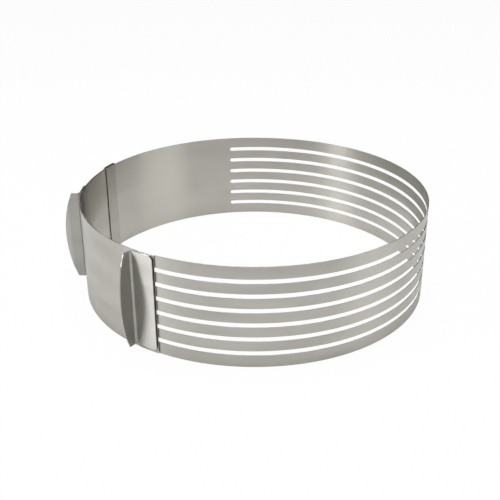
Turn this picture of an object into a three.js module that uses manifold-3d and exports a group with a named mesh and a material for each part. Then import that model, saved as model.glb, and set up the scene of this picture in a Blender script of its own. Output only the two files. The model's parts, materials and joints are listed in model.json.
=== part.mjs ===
// Adjustable cake slicing ring: a slotted steel hoop and a plain strip that slides round its outside.
// A finger handle stands on the strip and another on the hoop's end. A folded clip at each end holds
// the two layers together over their rims. Pushing the handles together takes the ring in.
// Millimetres, +Z up, standing on z = 0. Angles are degrees about the ring's axis, from +X towards +Y.
import * as THREE from 'three';
import { mergeVertices } from 'three/addons/utils/BufferGeometryUtils.js';
import Module from 'manifold-3d';

const wasm = await Module();
wasm.setup();

// Hoop
const RING_INNER_RADIUS = 139.75;
const BAND_HEIGHT = 78.5;
const SHEET = 0.5;
const BAND_END_ANGLE = 184;
const TONGUE_END_ANGLE = -172;
const TONGUE_INSET = 1;

// Slots, level and evenly spaced from rim to rim
const SLOT_COUNT = 6;
const SLOT_WIDTH = 3.4;
const SLOT_FRONT_ANGLE = -123;
const SLOT_BACK_ANGLE = 100;

// Sliding strip
const STRIP_REAR_ANGLE = 153;
const STRIP_END_REACH = 0.8;

// Clearances: between layers of sheet, and from a rim up to the fold of a clip
const LAYER_GAP = 0.3;
const FOLD_GAP = 0.8;

// Guide clips
const CLIP_WIDTH = 14;
const CLIP_FOOT_HEIGHT = 1.5;
const CLIP_END_INSET = 1.5;
const CLIP_BEND_RADIUS = 0.5;

// Handles
const FRONT_FIN_ANGLE = 232.3;
const LEFT_FIN_ANGLE = 182.5;
const HANDLE_SHEET = 0.8;
const HANDLE_TOP_MARGIN = 0.8;
const HANDLE_FOOT_HEIGHT = 2.6;
const HANDLE_BEND_RADIUS = 2;
const PLATE_WIDTH = 20;
const PLATE_CORNER_RADIUS = 3;
const FIN_END_DEPTH = 6.4;
const FIN_BELLY = 7.6;
const LIP_DEPTH = 4.5;
const LIP_ANGLE = 14;

// Fineness of the round forms
const FACETS_PER_TURN = 96;
const CORNER_SEGMENTS = 4;
const BELLY_SEGMENTS = 20;
const SLOT_END_SEGMENTS = 4;

// How far a cutting tool reaches past what it cuts
const CUT_REACH = 2;

// Radius of each layer's inner face, from the inside of the ring outwards
const LAYER_STEP = SHEET + LAYER_GAP;
const INNER_LEG_RADIUS = RING_INNER_RADIUS - LAYER_STEP;
const STRIP_RADIUS = RING_INNER_RADIUS + LAYER_STEP;
const OUTER_LEG_RADIUS = STRIP_RADIUS + LAYER_STEP;
const LEFT_PLATE_RADIUS = OUTER_LEG_RADIUS + LAYER_STEP;

const radians = THREE.MathUtils.degToRad;
const arcAngle = (length, radius) => THREE.MathUtils.radToDeg(length / radius);

// The strip ends just past the front plate's free edge
const STRIP_FRONT_ANGLE = FRONT_FIN_ANGLE + arcAngle(PLATE_WIDTH + STRIP_END_REACH, OUTER_LEG_RADIUS);

// Angles from one end to the other, with the steps between on a grid that all the layers share
const FACET_ANGLE = 360 / FACETS_PER_TURN;

function arcSteps(from, to) {
  const steps = [from];
  const closest = FACET_ANGLE / 4;
  for (let k = Math.ceil(from / FACET_ANGLE); k * FACET_ANGLE < to; k += 1) {
    const angle = k * FACET_ANGLE;
    if (angle - from > closest && to - angle > closest) steps.push(angle);
  }
  steps.push(to);
  return steps;
}

// A closed solid through sections of [radius, height] points, counter-clockwise, at rising angles
function loft(stations) {
  const count = stations[0].section.length;
  const positions = [];
  for (const { angle, section } of stations) {
    const cos = Math.cos(radians(angle));
    const sin = Math.sin(radians(angle));
    for (const [radius, height] of section) positions.push(radius * cos, radius * sin, height);
  }
  const index = [];
  for (let i = 0; i < stations.length - 1; i += 1) {
    for (let j = 0; j < count; j += 1) {
      const here = i * count + j;
      const next = i * count + ((j + 1) % count);
      index.push(next, here, here + count, next, here + count, next + count);
    }
  }
  const last = (stations.length - 1) * count;
  const contour = stations[0].section.map(([radius, height]) => new THREE.Vector2(radius, height));
  for (const [a, b, c] of THREE.ShapeUtils.triangulateShape(contour, [])) {
    index.push(a, b, c, last + c, last + b, last + a);
  }
  const geometry = new THREE.BufferGeometry();
  geometry.setAttribute('position', new THREE.Float32BufferAttribute(positions, 3));
  geometry.setIndex(index);
  return geometry;
}

// One section carried round the ring's axis
function sweep(section, from, to) {
  return loft(arcSteps(from, to).map((angle) => ({ angle, section })));
}

// The section of a sheet that stands upright
function sheetSection(radius, thickness, low, high) {
  return [[radius, low], [radius + thickness, low], [radius + thickness, high], [radius, high]];
}

// A closed geometry as a solid that can be joined and cut, and back again
function toSolid(geometry) {
  const bare = geometry.clone();
  bare.deleteAttribute('normal');
  bare.deleteAttribute('uv');
  const merged = mergeVertices(bare);
  const vertProperties = new Float32Array(merged.attributes.position.array);
  const triVerts = new Uint32Array(merged.index.array);
  return new wasm.Manifold(new wasm.Mesh({ numProp: 3, vertProperties, triVerts }));
}

function toGeometry(solid) {
  const mesh = solid.getMesh();
  const geometry = new THREE.BufferGeometry();
  geometry.setAttribute('position', new THREE.Float32BufferAttribute(mesh.vertProperties, 3));
  geometry.setIndex(Array.from(mesh.triVerts));
  return geometry;
}

// Unit vectors at an angle of the ring
const outward = (angle) => new THREE.Vector3(Math.cos(radians(angle)), Math.sin(radians(angle)), 0);
const along = (angle) => new THREE.Vector3(-Math.sin(radians(angle)), Math.cos(radians(angle)), 0);
const UP = new THREE.Vector3(0, 0, 1);

function placed(geometry, xAxis, yAxis, zAxis, origin) {
  const matrix = new THREE.Matrix4().makeBasis(xAxis, yAxis, zAxis).setPosition(origin);
  return geometry.applyMatrix4(matrix);
}

// A slot's cutter: a bar round the ring that narrows to a round end at both angles.
// Its steps lie between the hoop's own, so that no two edges meet.
function slotCutter(height) {
  const half = SLOT_WIDTH / 2;
  const inside = RING_INNER_RADIUS - CUT_REACH;
  const depth = SHEET + 2 * CUT_REACH;
  const cut = (angle, reach) => ({
    angle,
    section: sheetSection(inside, depth, height - reach, height + reach),
  });
  const front = [];
  const back = [];
  for (let k = 1; k <= SLOT_END_SEGMENTS; k += 1) {
    const turn = radians((90 * k) / SLOT_END_SEGMENTS);
    const inset = arcAngle(half * (1 - Math.cos(turn)), RING_INNER_RADIUS);
    front.push(cut(SLOT_FRONT_ANGLE + inset, half * Math.sin(turn)));
    back.unshift(cut(SLOT_BACK_ANGLE - inset, half * Math.sin(turn)));
  }
  const between = arcSteps(SLOT_FRONT_ANGLE, SLOT_BACK_ANGLE - FACET_ANGLE).slice(1, -1);
  const bar = between.map((angle) => cut(angle + FACET_ANGLE / 2, half));
  return toSolid(loft([...front, ...bar, ...back]));
}

// The hoop is one layer all the way round. Its front end is a tongue behind the sliding strip, kept
// a little narrower than the strip so that only the strip's rims show.
function slottedBand() {
  const section = sheetSection(RING_INNER_RADIUS, SHEET, 0, BAND_HEIGHT);
  let band = toSolid(sweep(section, TONGUE_END_ANGLE, BAND_END_ANGLE));
  const inside = RING_INNER_RADIUS - CUT_REACH;
  const depth = SHEET + 2 * CUT_REACH;
  const tongueFrom = TONGUE_END_ANGLE - arcAngle(CUT_REACH, RING_INNER_RADIUS);
  const tongueTo = STRIP_FRONT_ANGLE - 360;
  const rims = [[-CUT_REACH, TONGUE_INSET], [BAND_HEIGHT - TONGUE_INSET, BAND_HEIGHT + CUT_REACH]];
  for (const [low, high] of rims) {
    band = band.subtract(toSolid(sweep(sheetSection(inside, depth, low, high), tongueFrom, tongueTo)));
  }
  const pitch = BAND_HEIGHT / (SLOT_COUNT + 1);
  for (let k = 1; k <= SLOT_COUNT; k += 1) band = band.subtract(slotCutter(k * pitch));
  return toGeometry(band);
}

function slidingBand() {
  return sweep(sheetSection(STRIP_RADIUS, SHEET, 0, BAND_HEIGHT), STRIP_REAR_ANGLE, STRIP_FRONT_ANGLE);
}

// Points of a quarter turn about a centre, from one direction to another
function quarter(centre, radius, startAngle, turn) {
  const points = [];
  for (let k = 0; k <= CORNER_SEGMENTS; k += 1) {
    const angle = radians(startAngle + (turn * k) / CORNER_SEGMENTS);
    points.push([centre[0] + radius * Math.cos(angle), centre[1] + radius * Math.sin(angle)]);
  }
  return points;
}

// A clip's folded section: a leg inside the hoop, a fold over both rims and a leg outside the strip
function guideClip(from) {
  const innerFace = INNER_LEG_RADIUS + SHEET;
  const under = BAND_HEIGHT + FOLD_GAP;
  const bend = CLIP_BEND_RADIUS;
  const outerBend = bend + SHEET;
  const left = [innerFace + bend, under - bend];
  const right = [OUTER_LEG_RADIUS - bend, under - bend];
  const section = [
    [INNER_LEG_RADIUS, CLIP_FOOT_HEIGHT],
    [innerFace, CLIP_FOOT_HEIGHT],
    ...quarter(left, bend, 180, -90),
    ...quarter(right, bend, 90, -90),
    [OUTER_LEG_RADIUS, CLIP_FOOT_HEIGHT],
    [OUTER_LEG_RADIUS + SHEET, CLIP_FOOT_HEIGHT],
    ...quarter(right, outerBend, 0, 90),
    ...quarter(left, outerBend, 90, 90),
  ];
  return sweep(section, from, from + arcAngle(CLIP_WIDTH, RING_INNER_RADIUS));
}

// A handle in plan: the flat plate, the bend, the fin and its bent lip.
// x runs outwards from the ring's axis, y from the fin's back to the plate's free edge.
function handlePlan(radius) {
  const bend = HANDLE_BEND_RADIUS;
  const sheet = HANDLE_SHEET;
  const face = radius + sheet;
  const centre = [face + bend, sheet + bend];
  const tip = face + FIN_END_DEPTH + FIN_BELLY + CUT_REACH;
  const crease = tip - CUT_REACH - LIP_DEPTH;
  const rise = (tip - crease) * Math.tan(radians(LIP_ANGLE));
  const miter = sheet * Math.tan(radians(LIP_ANGLE / 2));
  return [
    [radius, PLATE_WIDTH + CUT_REACH],
    ...quarter(centre, sheet + bend, 180, 90),
    [crease, 0],
    [tip, rise],
    [tip, rise + sheet / Math.cos(radians(LIP_ANGLE))],
    [crease - miter, sheet],
    ...quarter(centre, bend, 270, -90),
    [face, PLATE_WIDTH + CUT_REACH],
  ];
}

// The plate's outline from outside, with round corners on its free edge.
// x runs from the fin's back to that edge, and y is the height.
function plateOutline() {
  const corner = PLATE_CORNER_RADIUS;
  const inset = PLATE_WIDTH - corner;
  const low = HANDLE_FOOT_HEIGHT;
  const high = BAND_HEIGHT - HANDLE_TOP_MARGIN;
  return [
    [-CUT_REACH, low - CUT_REACH],
    [inset, low - CUT_REACH],
    ...quarter([inset, low + corner], corner, -90, 90),
    ...quarter([inset, high - corner], corner, 0, 90),
    [inset, high + CUT_REACH],
    [-CUT_REACH, high + CUT_REACH],
  ];
}

// The fin's outline from the side: flat ends and a belly that is one arc
function finOutline(radius) {
  const low = HANDLE_FOOT_HEIGHT;
  const high = BAND_HEIGHT - HANDLE_TOP_MARGIN;
  const half = (high - low) / 2;
  const end = radius + HANDLE_SHEET + FIN_END_DEPTH;
  const arcRadius = (half * half + FIN_BELLY * FIN_BELLY) / (2 * FIN_BELLY);
  const spread = Math.asin(half / arcRadius);
  const outline = new THREE.Shape();
  outline.moveTo(radius - CUT_REACH, low);
  outline.lineTo(end, low);
  for (let k = 1; k < BELLY_SEGMENTS; k += 1) {
    const angle = -spread + (2 * spread * k) / BELLY_SEGMENTS;
    const x = end + FIN_BELLY - arcRadius + arcRadius * Math.cos(angle);
    outline.lineTo(x, low + half + arcRadius * Math.sin(angle));
  }
  outline.lineTo(end, high);
  outline.lineTo(radius - CUT_REACH, high);
  return outline;
}

// A shape drawn through points, with one of its two directions turned over where the side is -1
function shapeThrough(points, xSide, ySide) {
  return new THREE.Shape(points.map(([x, y]) => new THREE.Vector2(xSide * x, ySide * y)));
}

// A finger handle of bent sheet, flat against the ring at the middle of its plate.
// side is 1 where the plate lies at larger angles than the fin, else -1.
function handle(radius, finAngle, side) {
  const facing = finAngle + side * arcAngle(PLATE_WIDTH / 2, radius);
  const out = outward(facing);
  const ahead = along(facing);
  const foot = ahead.clone().multiplyScalar((-side * PLATE_WIDTH) / 2);
  const plan = shapeThrough(handlePlan(radius), 1, side);
  const upright = new THREE.ExtrudeGeometry(plan, { depth: BAND_HEIGHT, bevelEnabled: false });
  placed(upright, out, ahead, UP, foot);

  const reach = HANDLE_SHEET + FIN_END_DEPTH + FIN_BELLY + 2 * CUT_REACH;
  const outline = shapeThrough(plateOutline(), side, 1);
  const front = new THREE.ExtrudeGeometry(outline, { depth: reach, bevelEnabled: false });
  placed(front, ahead, UP, out, foot.clone().addScaledVector(out, radius - CUT_REACH));

  const width = 3 * PLATE_WIDTH;
  const profile = new THREE.ExtrudeGeometry(finOutline(radius), { depth: width, bevelEnabled: false });
  placed(profile, out, UP, ahead.clone().negate(), ahead.clone().multiplyScalar(width / 2));
  return toGeometry(toSolid(upright).intersect(toSolid(front)).intersect(toSolid(profile)));
}

function steel(color, roughness) {
  return new THREE.MeshStandardMaterial({ color, roughness, metalness: 1 });
}

function piece(name, geometry, material) {
  const mesh = new THREE.Mesh(geometry, material);
  mesh.name = name;
  return mesh;
}

const clipAngle = arcAngle(CLIP_WIDTH, RING_INNER_RADIUS);
const clipInset = arcAngle(CLIP_END_INSET, RING_INNER_RADIUS);

const ring = new THREE.Group();
ring.add(
  piece('slotted_band', slottedBand(), steel(0xb8b5ae, 0.32)),
  piece('sliding_band', slidingBand(), steel(0xbab7b0, 0.32)),
  piece('front_handle', handle(OUTER_LEG_RADIUS, FRONT_FIN_ANGLE, 1), steel(0xaaa7a1, 0.36)),
  piece('left_handle', handle(LEFT_PLATE_RADIUS, LEFT_FIN_ANGLE, -1), steel(0xaaa7a1, 0.36)),
  piece('left_guide_clip', guideClip(BAND_END_ANGLE - clipInset - clipAngle), steel(0xb2afa8, 0.34)),
  piece('rear_guide_clip', guideClip(STRIP_REAR_ANGLE + clipInset), steel(0xb2afa8, 0.34)),
);

// The origin is the middle of the object's footprint, on the plane that it stands on
const box = new THREE.Box3().setFromObject(ring);
const middle = box.getCenter(new THREE.Vector3());
ring.position.set(-middle.x, -middle.y, -box.min.z);

const part = new THREE.Group();
part.add(ring);

export default part;
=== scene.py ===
"""Looks of the adjustable cake slicing ring: satin brushed steel on finely rounded sheet forms.

Everything is in metres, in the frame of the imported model. Angles are degrees about the ring's axis,
from +X towards +Y, as in the part's source.
"""
import json
import math

import bmesh
import bpy
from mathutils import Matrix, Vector


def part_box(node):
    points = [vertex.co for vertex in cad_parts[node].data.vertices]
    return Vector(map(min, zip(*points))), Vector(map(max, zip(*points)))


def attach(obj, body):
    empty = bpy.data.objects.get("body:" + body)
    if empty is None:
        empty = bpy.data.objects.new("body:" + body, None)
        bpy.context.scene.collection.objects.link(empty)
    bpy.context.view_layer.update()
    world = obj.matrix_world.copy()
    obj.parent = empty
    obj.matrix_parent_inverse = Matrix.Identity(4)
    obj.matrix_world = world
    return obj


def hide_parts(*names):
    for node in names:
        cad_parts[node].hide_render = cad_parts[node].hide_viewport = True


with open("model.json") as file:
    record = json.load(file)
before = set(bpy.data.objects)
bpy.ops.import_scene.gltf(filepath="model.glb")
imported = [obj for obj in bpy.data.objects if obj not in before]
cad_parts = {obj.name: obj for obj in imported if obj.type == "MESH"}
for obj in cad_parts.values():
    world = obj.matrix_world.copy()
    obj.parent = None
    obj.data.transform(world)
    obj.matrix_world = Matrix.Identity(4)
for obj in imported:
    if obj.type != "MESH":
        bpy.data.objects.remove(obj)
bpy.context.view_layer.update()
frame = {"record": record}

# Sheet of the hoop, strip and clips, and the gap between two layers of it
SHEET = 0.0005
LAYER_GAP = 0.0003

# The ring's axis and main sizes, from the frame
JOINT = frame["record"]["behaviour"]["joints"][0]
AXIS = Vector(JOINT["pos_m"])
HOOP_LOW, HOOP_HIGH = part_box("slotted_band")
BAND_HEIGHT = HOOP_HIGH[2] - HOOP_LOW[2]
RING_INNER_RADIUS = HOOP_HIGH[0] - AXIS.x - SHEET
RING_CENTRE = AXIS + Vector((0, 0, BAND_HEIGHT / 2))

# Inner radii of the layers of sheet, from the inside of the ring outwards
LAYER_STEP = SHEET + LAYER_GAP
INNER_LEG_RADIUS = RING_INNER_RADIUS - LAYER_STEP
STRIP_RADIUS = RING_INNER_RADIUS + LAYER_STEP
OUTER_LEG_RADIUS = STRIP_RADIUS + LAYER_STEP
LEFT_PLATE_RADIUS = OUTER_LEG_RADIUS + LAYER_STEP

# Hoop and strip
BAND_END_ANGLE = 184.0
TONGUE_END_ANGLE = -172.0
TONGUE_INSET = 0.001
STRIP_REAR_ANGLE = 153.0
STRIP_END_REACH = 0.0008
SLOT_COUNT = 6
SLOT_WIDTH = 0.0034
SLOT_FRONT_ANGLE = -123.0
SLOT_BACK_ANGLE = 100.0

# Guide clips
CLIP_WIDTH = 0.014
CLIP_FOOT_HEIGHT = 0.0015
CLIP_END_INSET = 0.0015
CLIP_BEND_RADIUS = 0.0005
FOLD_GAP = 0.0008

# Handles
FRONT_FIN_ANGLE = 232.3
LEFT_FIN_ANGLE = 182.5
HANDLE_SHEET = 0.0008
HANDLE_TOP_MARGIN = 0.0008
HANDLE_FOOT_HEIGHT = 0.0026
HANDLE_BEND_RADIUS = 0.002
PLATE_WIDTH = 0.020
PLATE_CORNER_RADIUS = 0.003
FIN_END_DEPTH = 0.0064
FIN_BELLY = 0.0076
LIP_DEPTH = 0.0045
LIP_ANGLE = 14.0
CREASE_RADIUS = 0.0015

# Fineness of the meshes, and the rounding of cut sheet edges
ARC_STEP = 1.0
ROUND_STEPS = 8
BELLY_STEPS = 36
HANDLE_ROWS = 8
HEIGHT_DIGITS = 7
EDGE_ROUND = 0.00008
HANDLE_EDGE_ROUND = 0.00028
EDGE_SEGMENTS = 3
EDGE_ANGLE = 40.0

# Steel: the colour and finish of each kind of sheet. grain is the brushed lines' (length, width)
STRIP_COLOR = (0.55, 0.537, 0.491)
HANDLE_COLOR = (0.56, 0.546, 0.514)
CLIP_COLOR = (0.49, 0.478, 0.437)
STRIP_FINISH = {"roughness": 0.33, "anisotropy": 0.88, "grain": (0.045, 0.00022), "streak": 0.05}
HANDLE_FINISH = {"roughness": 0.345, "anisotropy": 1.0, "grain": (0.030, 0.00022), "streak": 0.04}
GLOSS_TURN = 0.25
SHEET_MAP = "sheet"

# Brushed lines: their noise, the part of its range that shows, and their relief
LINE_DETAIL = 4.0
LINE_ROUGHNESS = 0.65
LINE_SPREAD = (0.25, 0.75)
LINE_RELIEF = 0.12
LINE_DEPTH = 0.00003

# Clouds in the gloss: their (length, height), their noise, and how much smoother and rougher they make it
CLOUD_SIZE = (0.060, 0.012)
CLOUD_DETAIL = 3.0
CLOUD_ROUGHNESS = 0.5
CLOUD_SPREAD = (0.3, 0.7)
CLOUD_SMOOTHER = 0.04
CLOUD_ROUGHER = 0.05

# Slight waves of the sheet: their (length, height), their noise and their relief
WAVE_SIZE = (0.022, 0.25)
WAVE_DETAIL = 1.0
WAVE_ROUGHNESS = 0.5
WAVE_RELIEF = 1.0
WAVE_DEPTH = 0.0003

# Floor and room: their own colours, and the shares of plain white that the camera and mirrors see
FLOOR_RADIUS = 6.0
FLOOR_SIDES = 96
FLOOR_DROP = 0.0002
FLOOR_COLOR = (0.86, 0.86, 0.85, 1.0)
FLOOR_ROUGHNESS = 0.9
FLOOR_WHITE_SEEN = 0.965
FLOOR_WHITE_MIRRORED = 0.25
ROOM_COLOR = (0.05, 0.05, 0.05, 1.0)
ROOM_WHITE_SEEN = 1.0
ROOM_WHITE_MIRRORED = 0.05
WHITE = (1.0, 1.0, 1.0, 1.0)

# Soft lamps: where each stands, seen from the ring, its (width, height) and its power in watts
LEFT_LAMP = {"azimuth": 201.0, "elevation": 30.0, "distance": 1.4, "size": (0.34, 0.6), "power": 7.4}
RIGHT_LAMP = {"azimuth": 346.0, "elevation": 24.0, "distance": 1.4, "size": (0.8, 0.7), "power": 4.4}
TOP_LAMP = {"azimuth": 90.0, "elevation": 89.0, "distance": 1.3, "size": (0.8, 0.8), "power": 15.6}

# Camera of the photograph: a square picture, seen from the front and above, cropped off its centre
PICTURE_WIDTH = 500
FOCAL_PIXELS = 798.6
CAMERA_DISTANCE = 0.6712
CAMERA_ELEVATION = 24.45
PICTURE_CENTRE_X = 254.8
PICTURE_CENTRE_Y = 233.3
SENSOR_WIDTH = 36.0
NEAREST_SEEN = 0.01
FARTHEST_SEEN = 50.0


def arc_angle(length, radius):
    return math.degrees(length / radius)


# Angles that follow from lengths: the strip ends just past the front plate's free edge
STRIP_FRONT_ANGLE = FRONT_FIN_ANGLE + arc_angle(PLATE_WIDTH + STRIP_END_REACH, OUTER_LEG_RADIUS)
CLIP_ANGLE = arc_angle(CLIP_WIDTH, RING_INNER_RADIUS)
CLIP_INSET_ANGLE = arc_angle(CLIP_END_INSET, RING_INNER_RADIUS)


def outward(angle):
    return Vector((math.cos(math.radians(angle)), math.sin(math.radians(angle)), 0.0))


def along(angle):
    return Vector((-math.sin(math.radians(angle)), math.cos(math.radians(angle)), 0.0))


def on_ring(angle, radius, height):
    point = AXIS + outward(angle) * radius
    point.z = height
    return point


def arc_steps(start, stop):
    """Evenly spaced angles from start to stop, both included."""
    count = max(1, math.ceil(abs(stop - start) / ARC_STEP))
    return [start + (stop - start) * k / count for k in range(count + 1)]


def thick_sheet(name, quads, corners, edge_round=EDGE_ROUND):
    """A closed piece of sheet metal. corners maps a key to (front point, back point, uv), and quads are
    rings of keys. Walls close the sheet wherever a quad has no neighbour, and its edges are rounded."""
    mesh = bpy.data.meshes.new(name)
    bm = bmesh.new()
    uv_layer = bm.loops.layers.uv.new(SHEET_MAP)
    front = {key: bm.verts.new(value[0]) for key, value in corners.items()}
    back = {key: bm.verts.new(value[1]) for key, value in corners.items()}

    def face(verts_and_uvs):
        made = bm.faces.new([vert for vert, _ in verts_and_uvs])
        made.smooth = True
        for loop, (_, uv) in zip(made.loops, verts_and_uvs):
            loop[uv_layer].uv = uv

    edges = {}
    for quad in quads:
        keys = list(dict.fromkeys(quad))
        if len(keys) < 3:
            continue
        face([(front[key], corners[key][2]) for key in keys])
        face([(back[key], corners[key][2]) for key in reversed(keys)])
        edges.update(dict.fromkeys(zip(keys, keys[1:] + keys[:1])))
    for a, b in edges:
        if (b, a) not in edges:
            rim = ((front[b], b), (front[a], a), (back[a], a), (back[b], b))
            face([(vert, corners[key][2]) for vert, key in rim])
    bmesh.ops.delete(bm, geom=[v for v in bm.verts if not v.link_faces], context="VERTS")
    bmesh.ops.recalc_face_normals(bm, faces=bm.faces)
    bm.to_mesh(mesh)
    bm.free()
    obj = bpy.data.objects.new(name, mesh)
    bpy.context.scene.collection.objects.link(obj)
    bevel = obj.modifiers.new("rounded_edges", "BEVEL")
    bevel.width = edge_round
    bevel.segments = EDGE_SEGMENTS
    bevel.limit_method = "ANGLE"
    bevel.angle_limit = math.radians(EDGE_ANGLE)
    bevel.harden_normals = True
    return obj


def band_sheet(name, radius, columns):
    """Sheet standing round the axis. Each column is (angle, rows), and each of its rows is the sheet's
    (low, high) there, or None where that row has no sheet."""
    corners = {}
    quads = []

    def corner(column, angle, height):
        key = (column, round(height, HEIGHT_DIGITS))
        uv = (math.radians(angle) * radius, height)
        corners[key] = (on_ring(angle, radius + SHEET, height), on_ring(angle, radius, height), uv)
        return key

    for k in range(len(columns) - 1):
        here, there = columns[k], columns[k + 1]
        for row_here, row_there in zip(here[1], there[1]):
            if row_here is None or row_there is None:
                continue
            quads.append((
                corner(k, here[0], row_here[0]),
                corner(k + 1, there[0], row_there[0]),
                corner(k + 1, there[0], row_there[1]),
                corner(k, here[0], row_here[1]),
            ))
    return thick_sheet(name, quads, corners)


def slot_half_width(angle):
    """Half the slots' width at an angle: nothing outside them, a half circle at their ends."""
    half = SLOT_WIDTH / 2
    nearest = min(angle - SLOT_FRONT_ANGLE, SLOT_BACK_ANGLE - angle)
    inset = math.radians(nearest) * RING_INNER_RADIUS
    if inset <= 0.0:
        return 0.0
    if inset >= half:
        return half
    return math.sqrt(half * half - (half - inset) ** 2)


def slotted_band():
    """The hoop with its slots. Behind the strip it is a tongue, set in from both rims."""
    half_angle = arc_angle(SLOT_WIDTH / 2, RING_INNER_RADIUS)
    tongue_start = STRIP_FRONT_ANGLE - 360.0
    round_insets = [
        half_angle * (1 - math.cos(math.pi / 2 * k / ROUND_STEPS))
        for k in range(ROUND_STEPS + 1)
    ]
    angles = arc_steps(TONGUE_END_ANGLE, SLOT_FRONT_ANGLE)[:-1]
    angles += [SLOT_FRONT_ANGLE + inset for inset in round_insets]
    angles += arc_steps(SLOT_FRONT_ANGLE + half_angle, tongue_start)[1:]
    angles += arc_steps(tongue_start, SLOT_BACK_ANGLE - half_angle)[1:-1]
    angles += [SLOT_BACK_ANGLE - inset for inset in reversed(round_insets)]
    angles += arc_steps(SLOT_BACK_ANGLE, BAND_END_ANGLE)[1:]
    pitch = BAND_HEIGHT / (SLOT_COUNT + 1)
    columns = []
    for angle in angles:
        half = slot_half_width(angle)
        lows = [TONGUE_INSET] + [k * pitch + half for k in range(1, SLOT_COUNT + 1)]
        highs = [k * pitch - half for k in range(1, SLOT_COUNT + 1)] + [BAND_HEIGHT - TONGUE_INSET]
        in_tongue = angle < tongue_start
        lower_rim = None if in_tongue else (0.0, TONGUE_INSET)
        upper_rim = None if in_tongue else (BAND_HEIGHT - TONGUE_INSET, BAND_HEIGHT)
        columns.append((angle, [lower_rim, *zip(lows, highs), upper_rim]))
    return band_sheet("slotted_hoop", RING_INNER_RADIUS, columns)


def sliding_band():
    angles = arc_steps(STRIP_REAR_ANGLE, STRIP_FRONT_ANGLE)
    return band_sheet("plain_strip", STRIP_RADIUS, [(angle, [(0.0, BAND_HEIGHT)]) for angle in angles])


def turn(centre, radius, start, sweep):
    """Points of an arc in a plane, with the direction from its centre at each."""
    points = []
    for k in range(ROUND_STEPS + 1):
        angle = math.radians(start + sweep * k / ROUND_STEPS)
        ray = Vector((math.cos(angle), math.sin(angle)))
        points.append((Vector(centre) + ray * radius, ray))
    return points


def guide_clip(name, start):
    """A clip's folded sheet: a leg inside the hoop, a fold over the upper rims, a leg outside the strip."""
    reach = CLIP_BEND_RADIUS + SHEET / 2
    top = BAND_HEIGHT + FOLD_GAP - CLIP_BEND_RADIUS
    left = (INNER_LEG_RADIUS + SHEET + CLIP_BEND_RADIUS, top)
    right = (OUTER_LEG_RADIUS - CLIP_BEND_RADIUS, top)
    inner = Vector((INNER_LEG_RADIUS + SHEET / 2, CLIP_FOOT_HEIGHT))
    outer = Vector((OUTER_LEG_RADIUS + SHEET / 2, CLIP_FOOT_HEIGHT))
    path = [(inner, Vector((-1.0, 0.0)))]
    path += turn(left, reach, 180, -90)
    path += turn(right, reach, 90, -90)
    path += [(outer, Vector((1.0, 0.0)))]
    angles = arc_steps(start, start + CLIP_ANGLE)
    corners = {}
    for row, (point, ray) in enumerate(path):
        for column, angle in enumerate(angles):
            away = point + ray * SHEET / 2
            near = point - ray * SHEET / 2
            uv = (math.radians(angle) * RING_INNER_RADIUS, point.y)
            corners[(row, column)] = (on_ring(angle, *away), on_ring(angle, *near), uv)
    quads = [
        ((r, c), (r, c + 1), (r + 1, c + 1), (r + 1, c))
        for r in range(len(path) - 1)
        for c in range(len(angles) - 1)
    ]
    return thick_sheet(name, quads, corners)


def handle_path(radius):
    """A handle's sheet in plan, along its middle: the plate's free edge, the bend, the fin and its lip.
    Each entry is (point, unit normal). x is outwards, y from the fin's back to the plate's free edge."""
    face = radius + HANDLE_SHEET
    middle = HANDLE_SHEET / 2
    reach = HANDLE_BEND_RADIUS + middle
    root = HANDLE_SHEET + HANDLE_BEND_RADIUS
    path = []
    for k in range(ROUND_STEPS + 1):
        into_corner = PLATE_CORNER_RADIUS * math.cos(math.pi / 2 * k / ROUND_STEPS)
        width = PLATE_WIDTH - PLATE_CORNER_RADIUS + into_corner
        path.append((Vector((radius + middle, width)), Vector((1.0, 0.0))))
    path += [(point, -ray) for point, ray in turn((face + HANDLE_BEND_RADIUS, root), reach, 180, 90)]
    path.append((Vector((face + FIN_END_DEPTH, middle)), Vector((0.0, 1.0))))

    crease = face + FIN_END_DEPTH + FIN_BELLY - LIP_DEPTH
    half_turn = CREASE_RADIUS * math.tan(math.radians(LIP_ANGLE / 2))
    lip = Vector((math.cos(math.radians(LIP_ANGLE)), math.sin(math.radians(LIP_ANGLE))))
    lip_normal = Vector((-lip.y, lip.x))
    for k in range(1, BELLY_STEPS + 1):
        depth = FIN_END_DEPTH + FIN_BELLY * math.sin(math.pi / 2 * k / BELLY_STEPS)
        run = face + depth - crease
        if run <= -half_turn:
            path.append((Vector((face + depth, middle)), Vector((0.0, 1.0))))
        elif run >= half_turn:
            point = Vector((crease, middle)) + lip * run / lip.x
            path.append((point, lip_normal))
        else:
            share = (run + half_turn) / (2 * half_turn)
            angle = math.radians(LIP_ANGLE) * share
            rise = (run + half_turn) * math.tan(angle / 2)
            normal = Vector((-math.sin(angle), math.cos(angle)))
            path.append((Vector((face + depth, middle + rise)), normal))
    return path


def handle_heights(point, radius):
    """Lowest and highest point of a handle's sheet at a place of its plan."""
    low, high = HANDLE_FOOT_HEIGHT, BAND_HEIGHT - HANDLE_TOP_MARGIN
    half = (high - low) / 2
    depth = point.x - radius - HANDLE_SHEET - FIN_END_DEPTH
    if depth > 0.0:
        arc_radius = (half * half + FIN_BELLY * FIN_BELLY) / (2 * FIN_BELLY)
        inset = arc_radius - FIN_BELLY + min(depth, FIN_BELLY)
        reach = math.sqrt(max(0.0, arc_radius * arc_radius - inset * inset))
        return low + half - reach, low + half + reach
    into_corner = point.y - (PLATE_WIDTH - PLATE_CORNER_RADIUS)
    if into_corner > 0.0:
        drop = PLATE_CORNER_RADIUS - math.sqrt(max(0.0, PLATE_CORNER_RADIUS ** 2 - into_corner ** 2))
        return low + drop, high - drop
    return low, high


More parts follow.
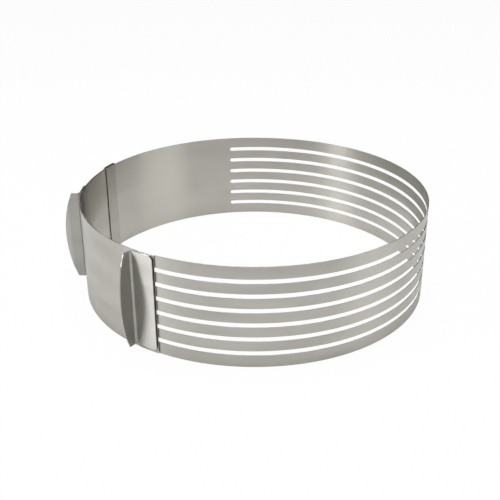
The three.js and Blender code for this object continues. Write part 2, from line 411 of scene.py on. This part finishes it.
def finger_handle(name, radius, fin_angle, side):
    """A finger handle of bent sheet, flat against the ring at the middle of its plate. side is 1 where the
    plate lies at larger angles than the fin, else -1."""
    facing = fin_angle + side * arc_angle(PLATE_WIDTH / 2, radius)
    out, ahead = outward(facing), along(facing) * side
    corners = {}
    path = handle_path(radius)
    length = 0.0
    for column, (point, normal) in enumerate(path):
        if column:
            length += (point - path[column - 1][0]).length
        low, high = handle_heights(point, radius)
        for row in range(HANDLE_ROWS + 1):
            height = low + (high - low) * row / HANDLE_ROWS
            places = []
            for offset in (HANDLE_SHEET / 2, -HANDLE_SHEET / 2):
                plan = point + normal * offset
                place = AXIS + out * plan.x + ahead * (plan.y - PLATE_WIDTH / 2)
                place.z = height
                places.append(place)
            corners[(column, row)] = (places[0], places[1], (length, height))
    quads = [
        ((c, r), (c + 1, r), (c + 1, r + 1), (c, r + 1))
        for c in range(len(path) - 1)
        for r in range(HANDLE_ROWS)
    ]
    return thick_sheet(name, quads, corners, HANDLE_EDGE_ROUND)


def node(tree, kind, **inputs):
    """A new node with some of its inputs set."""
    made = tree.nodes.new(kind)
    for key, value in inputs.items():
        made.inputs[key].default_value = value
    return made


def sheet_noise(tree, place, size, detail, roughness):
    """Noise on the sheet, with marks of a (length, height)."""
    marks_at = tree.nodes.new("ShaderNodeMapping")
    marks_at.inputs["Scale"].default_value = (1.0 / size[0], 1.0 / size[1], 1.0)
    tree.links.new(place.outputs["UV"], marks_at.inputs["Vector"])
    marks = node(tree, "ShaderNodeTexNoise", Scale=1.0, Detail=detail, Roughness=roughness)
    tree.links.new(marks_at.outputs["Vector"], marks.inputs["Vector"])
    return marks.outputs["Fac"]


def stretched(tree, value, spread, low, high):
    """A value whose spread, given as (least, most), is stretched to run from low to high."""
    stretch = tree.nodes.new("ShaderNodeMapRange")
    stretch.inputs["From Min"].default_value = spread[0]
    stretch.inputs["From Max"].default_value = spread[1]
    stretch.inputs["To Min"].default_value = low
    stretch.inputs["To Max"].default_value = high
    tree.links.new(value, stretch.inputs["Value"])
    return stretch.outputs["Result"]


def brushed_steel(name, color, roughness, anisotropy, grain, streak):
    """Satin steel brushed along the sheet: fine lines in its colour and relief, clouds in its gloss, and
    slight waves. grain is the lines' (length, width), and streak how strongly they mark the colour."""
    material = bpy.data.materials.new(name)
    material.use_nodes = True
    tree = material.node_tree
    links = tree.links
    shader = tree.nodes["Principled BSDF"]
    shader.inputs["Metallic"].default_value = 1.0
    shader.inputs["Anisotropic"].default_value = anisotropy
    shader.inputs["Anisotropic Rotation"].default_value = GLOSS_TURN

    place = tree.nodes.new("ShaderNodeUVMap")
    place.uv_map = SHEET_MAP
    lines = sheet_noise(tree, place, grain, LINE_DETAIL, LINE_ROUGHNESS)
    clouds = sheet_noise(tree, place, CLOUD_SIZE, CLOUD_DETAIL, CLOUD_ROUGHNESS)
    waves = sheet_noise(tree, place, WAVE_SIZE, WAVE_DETAIL, WAVE_ROUGHNESS)

    tint = tree.nodes.new("ShaderNodeMix")
    tint.data_type = "RGBA"
    tint.blend_type = "MULTIPLY"
    tint.inputs["Factor"].default_value = 1.0
    tint.inputs["A"].default_value = (*color, 1.0)
    links.new(stretched(tree, lines, LINE_SPREAD, 1.0 - streak, 1.0 + streak), tint.inputs["B"])
    links.new(tint.outputs["Result"], shader.inputs["Base Color"])

    smoothest, roughest = roughness - CLOUD_SMOOTHER, roughness + CLOUD_ROUGHER
    links.new(stretched(tree, clouds, CLOUD_SPREAD, smoothest, roughest), shader.inputs["Roughness"])

    buckle = node(tree, "ShaderNodeBump", Strength=WAVE_RELIEF, Distance=WAVE_DEPTH)
    links.new(waves, buckle.inputs["Height"])
    relief = node(tree, "ShaderNodeBump", Strength=LINE_RELIEF, Distance=LINE_DEPTH)
    links.new(lines, relief.inputs["Height"])
    links.new(buckle.outputs["Normal"], relief.inputs["Normal"])
    links.new(relief.outputs["Normal"], shader.inputs["Normal"])

    grain_along = tree.nodes.new("ShaderNodeTangent")
    grain_along.direction_type = "UV_MAP"
    grain_along.uv_map = SHEET_MAP
    links.new(grain_along.outputs["Tangent"], shader.inputs["Tangent"])
    return material


def dress(piece, replaced, body, material):
    """Gives a finished piece its material, hides the node that it stands for, and attaches it to the body
    it moves with.
    """
    piece.data.materials.append(material)
    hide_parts(replaced)
    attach(piece, body)


def white_share(tree, seen, mirrored):
    """How much of a surface shows as plain white: one share where the camera sees it, one in mirrors."""
    path = tree.nodes.new("ShaderNodeLightPath")
    in_mirrors = tree.nodes.new("ShaderNodeMath")
    in_mirrors.operation = "MULTIPLY"
    in_mirrors.inputs[1].default_value = mirrored
    links = tree.links
    links.new(path.outputs["Is Glossy Ray"], in_mirrors.inputs[0])
    share = tree.nodes.new("ShaderNodeMath")
    share.operation = "MULTIPLY_ADD"
    share.inputs[1].default_value = seen
    links.new(path.outputs["Is Camera Ray"], share.inputs[0])
    links.new(in_mirrors.outputs["Value"], share.inputs[2])
    return share.outputs["Value"]


def pale_floor():
    """A wide pale floor. The camera sees it nearly white, with a faint shadow, and steel mirrors it."""
    bpy.ops.mesh.primitive_circle_add(
        vertices=FLOOR_SIDES, radius=FLOOR_RADIUS, fill_type="NGON", location=(0, 0, -FLOOR_DROP)
    )
    floor = bpy.context.object
    floor.name = "floor"
    material = bpy.data.materials.new("pale_floor")
    material.use_nodes = True
    tree = material.node_tree
    links = tree.links
    shader = tree.nodes["Principled BSDF"]
    shader.inputs["Base Color"].default_value = FLOOR_COLOR
    shader.inputs["Roughness"].default_value = FLOOR_ROUGHNESS
    white = node(tree, "ShaderNodeEmission", Color=WHITE, Strength=1.0)
    blend = tree.nodes.new("ShaderNodeMixShader")
    links.new(white_share(tree, FLOOR_WHITE_SEEN, FLOOR_WHITE_MIRRORED), blend.inputs["Fac"])
    links.new(shader.outputs["BSDF"], blend.inputs[1])
    links.new(white.outputs["Emission"], blend.inputs[2])
    links.new(blend.outputs["Shader"], tree.nodes["Material Output"].inputs["Surface"])
    floor.data.materials.append(material)


def studio_world():
    """A soft studio: the camera sees it white, and it lights the ring as a dim grey room."""
    world = bpy.data.worlds.new("studio")
    bpy.context.scene.world = world
    world.use_nodes = True
    tree = world.node_tree
    links = tree.links
    tint = tree.nodes.new("ShaderNodeMix")
    tint.data_type = "RGBA"
    tint.inputs["A"].default_value = ROOM_COLOR
    tint.inputs["B"].default_value = WHITE
    links.new(white_share(tree, ROOM_WHITE_SEEN, ROOM_WHITE_MIRRORED), tint.inputs["Factor"])
    links.new(tint.outputs["Result"], tree.nodes["Background"].inputs["Color"])


def soft_box(name, azimuth, elevation, distance, size, power):
    """A large soft lamp that faces the ring from a direction."""
    lamp = bpy.data.lights.new(name, "AREA")
    lamp.shape = "RECTANGLE"
    lamp.size, lamp.size_y = size
    lamp.energy = power
    obj = bpy.data.objects.new(name, lamp)
    bpy.context.scene.collection.objects.link(obj)
    level = math.cos(math.radians(elevation))
    ray = outward(azimuth) * level + Vector((0, 0, math.sin(math.radians(elevation))))
    obj.location = RING_CENTRE + ray * distance
    obj.rotation_euler = ray.to_track_quat("Z", "Y").to_euler()


def photo_camera():
    camera = bpy.data.cameras.new("photo_camera")
    camera.sensor_width = SENSOR_WIDTH
    camera.lens = FOCAL_PIXELS / PICTURE_WIDTH * SENSOR_WIDTH
    camera.clip_start = NEAREST_SEEN
    camera.clip_end = FARTHEST_SEEN
    obj = bpy.data.objects.new("photo_camera", camera)
    bpy.context.scene.collection.objects.link(obj)
    elevation = math.radians(CAMERA_ELEVATION)
    obj.location = RING_CENTRE + CAMERA_DISTANCE * Vector((0, -math.cos(elevation), math.sin(elevation)))
    obj.rotation_euler = (math.pi / 2 - elevation, 0.0, 0.0)
    camera.shift_x = 0.5 - PICTURE_CENTRE_X / PICTURE_WIDTH
    camera.shift_y = PICTURE_CENTRE_Y / PICTURE_WIDTH - 0.5
    bpy.context.scene.camera = obj


# The pieces, each with its steel
band_steel = brushed_steel("band_steel", STRIP_COLOR, **STRIP_FINISH)
strip_steel = brushed_steel("strip_steel", STRIP_COLOR, **STRIP_FINISH)
handle_steel = brushed_steel("handle_steel", HANDLE_COLOR, **HANDLE_FINISH)
clip_steel = brushed_steel("clip_steel", CLIP_COLOR, **STRIP_FINISH)

dress(slotted_band(), "slotted_band", "hoop", band_steel)
dress(sliding_band(), "sliding_band", "slider", strip_steel)
dress(
    guide_clip("left_folded_clip", BAND_END_ANGLE - CLIP_INSET_ANGLE - CLIP_ANGLE),
    "left_guide_clip", "hoop", clip_steel,
)
dress(
    guide_clip("rear_folded_clip", STRIP_REAR_ANGLE + CLIP_INSET_ANGLE),
    "rear_guide_clip", "slider", clip_steel,
)
dress(
    finger_handle("front_finger_handle", OUTER_LEG_RADIUS, FRONT_FIN_ANGLE, 1),
    "front_handle", "slider", handle_steel,
)
dress(
    finger_handle("left_finger_handle", LEFT_PLATE_RADIUS, LEFT_FIN_ANGLE, -1),
    "left_handle", "hoop", handle_steel,
)

# The stage, its lamps and the camera
pale_floor()
studio_world()
soft_box("left_box", **LEFT_LAMP)
soft_box("right_box", **RIGHT_LAMP)
soft_box("top_box", **TOP_LAMP)
photo_camera()
bpy.context.scene.view_settings.view_transform = "Standard"
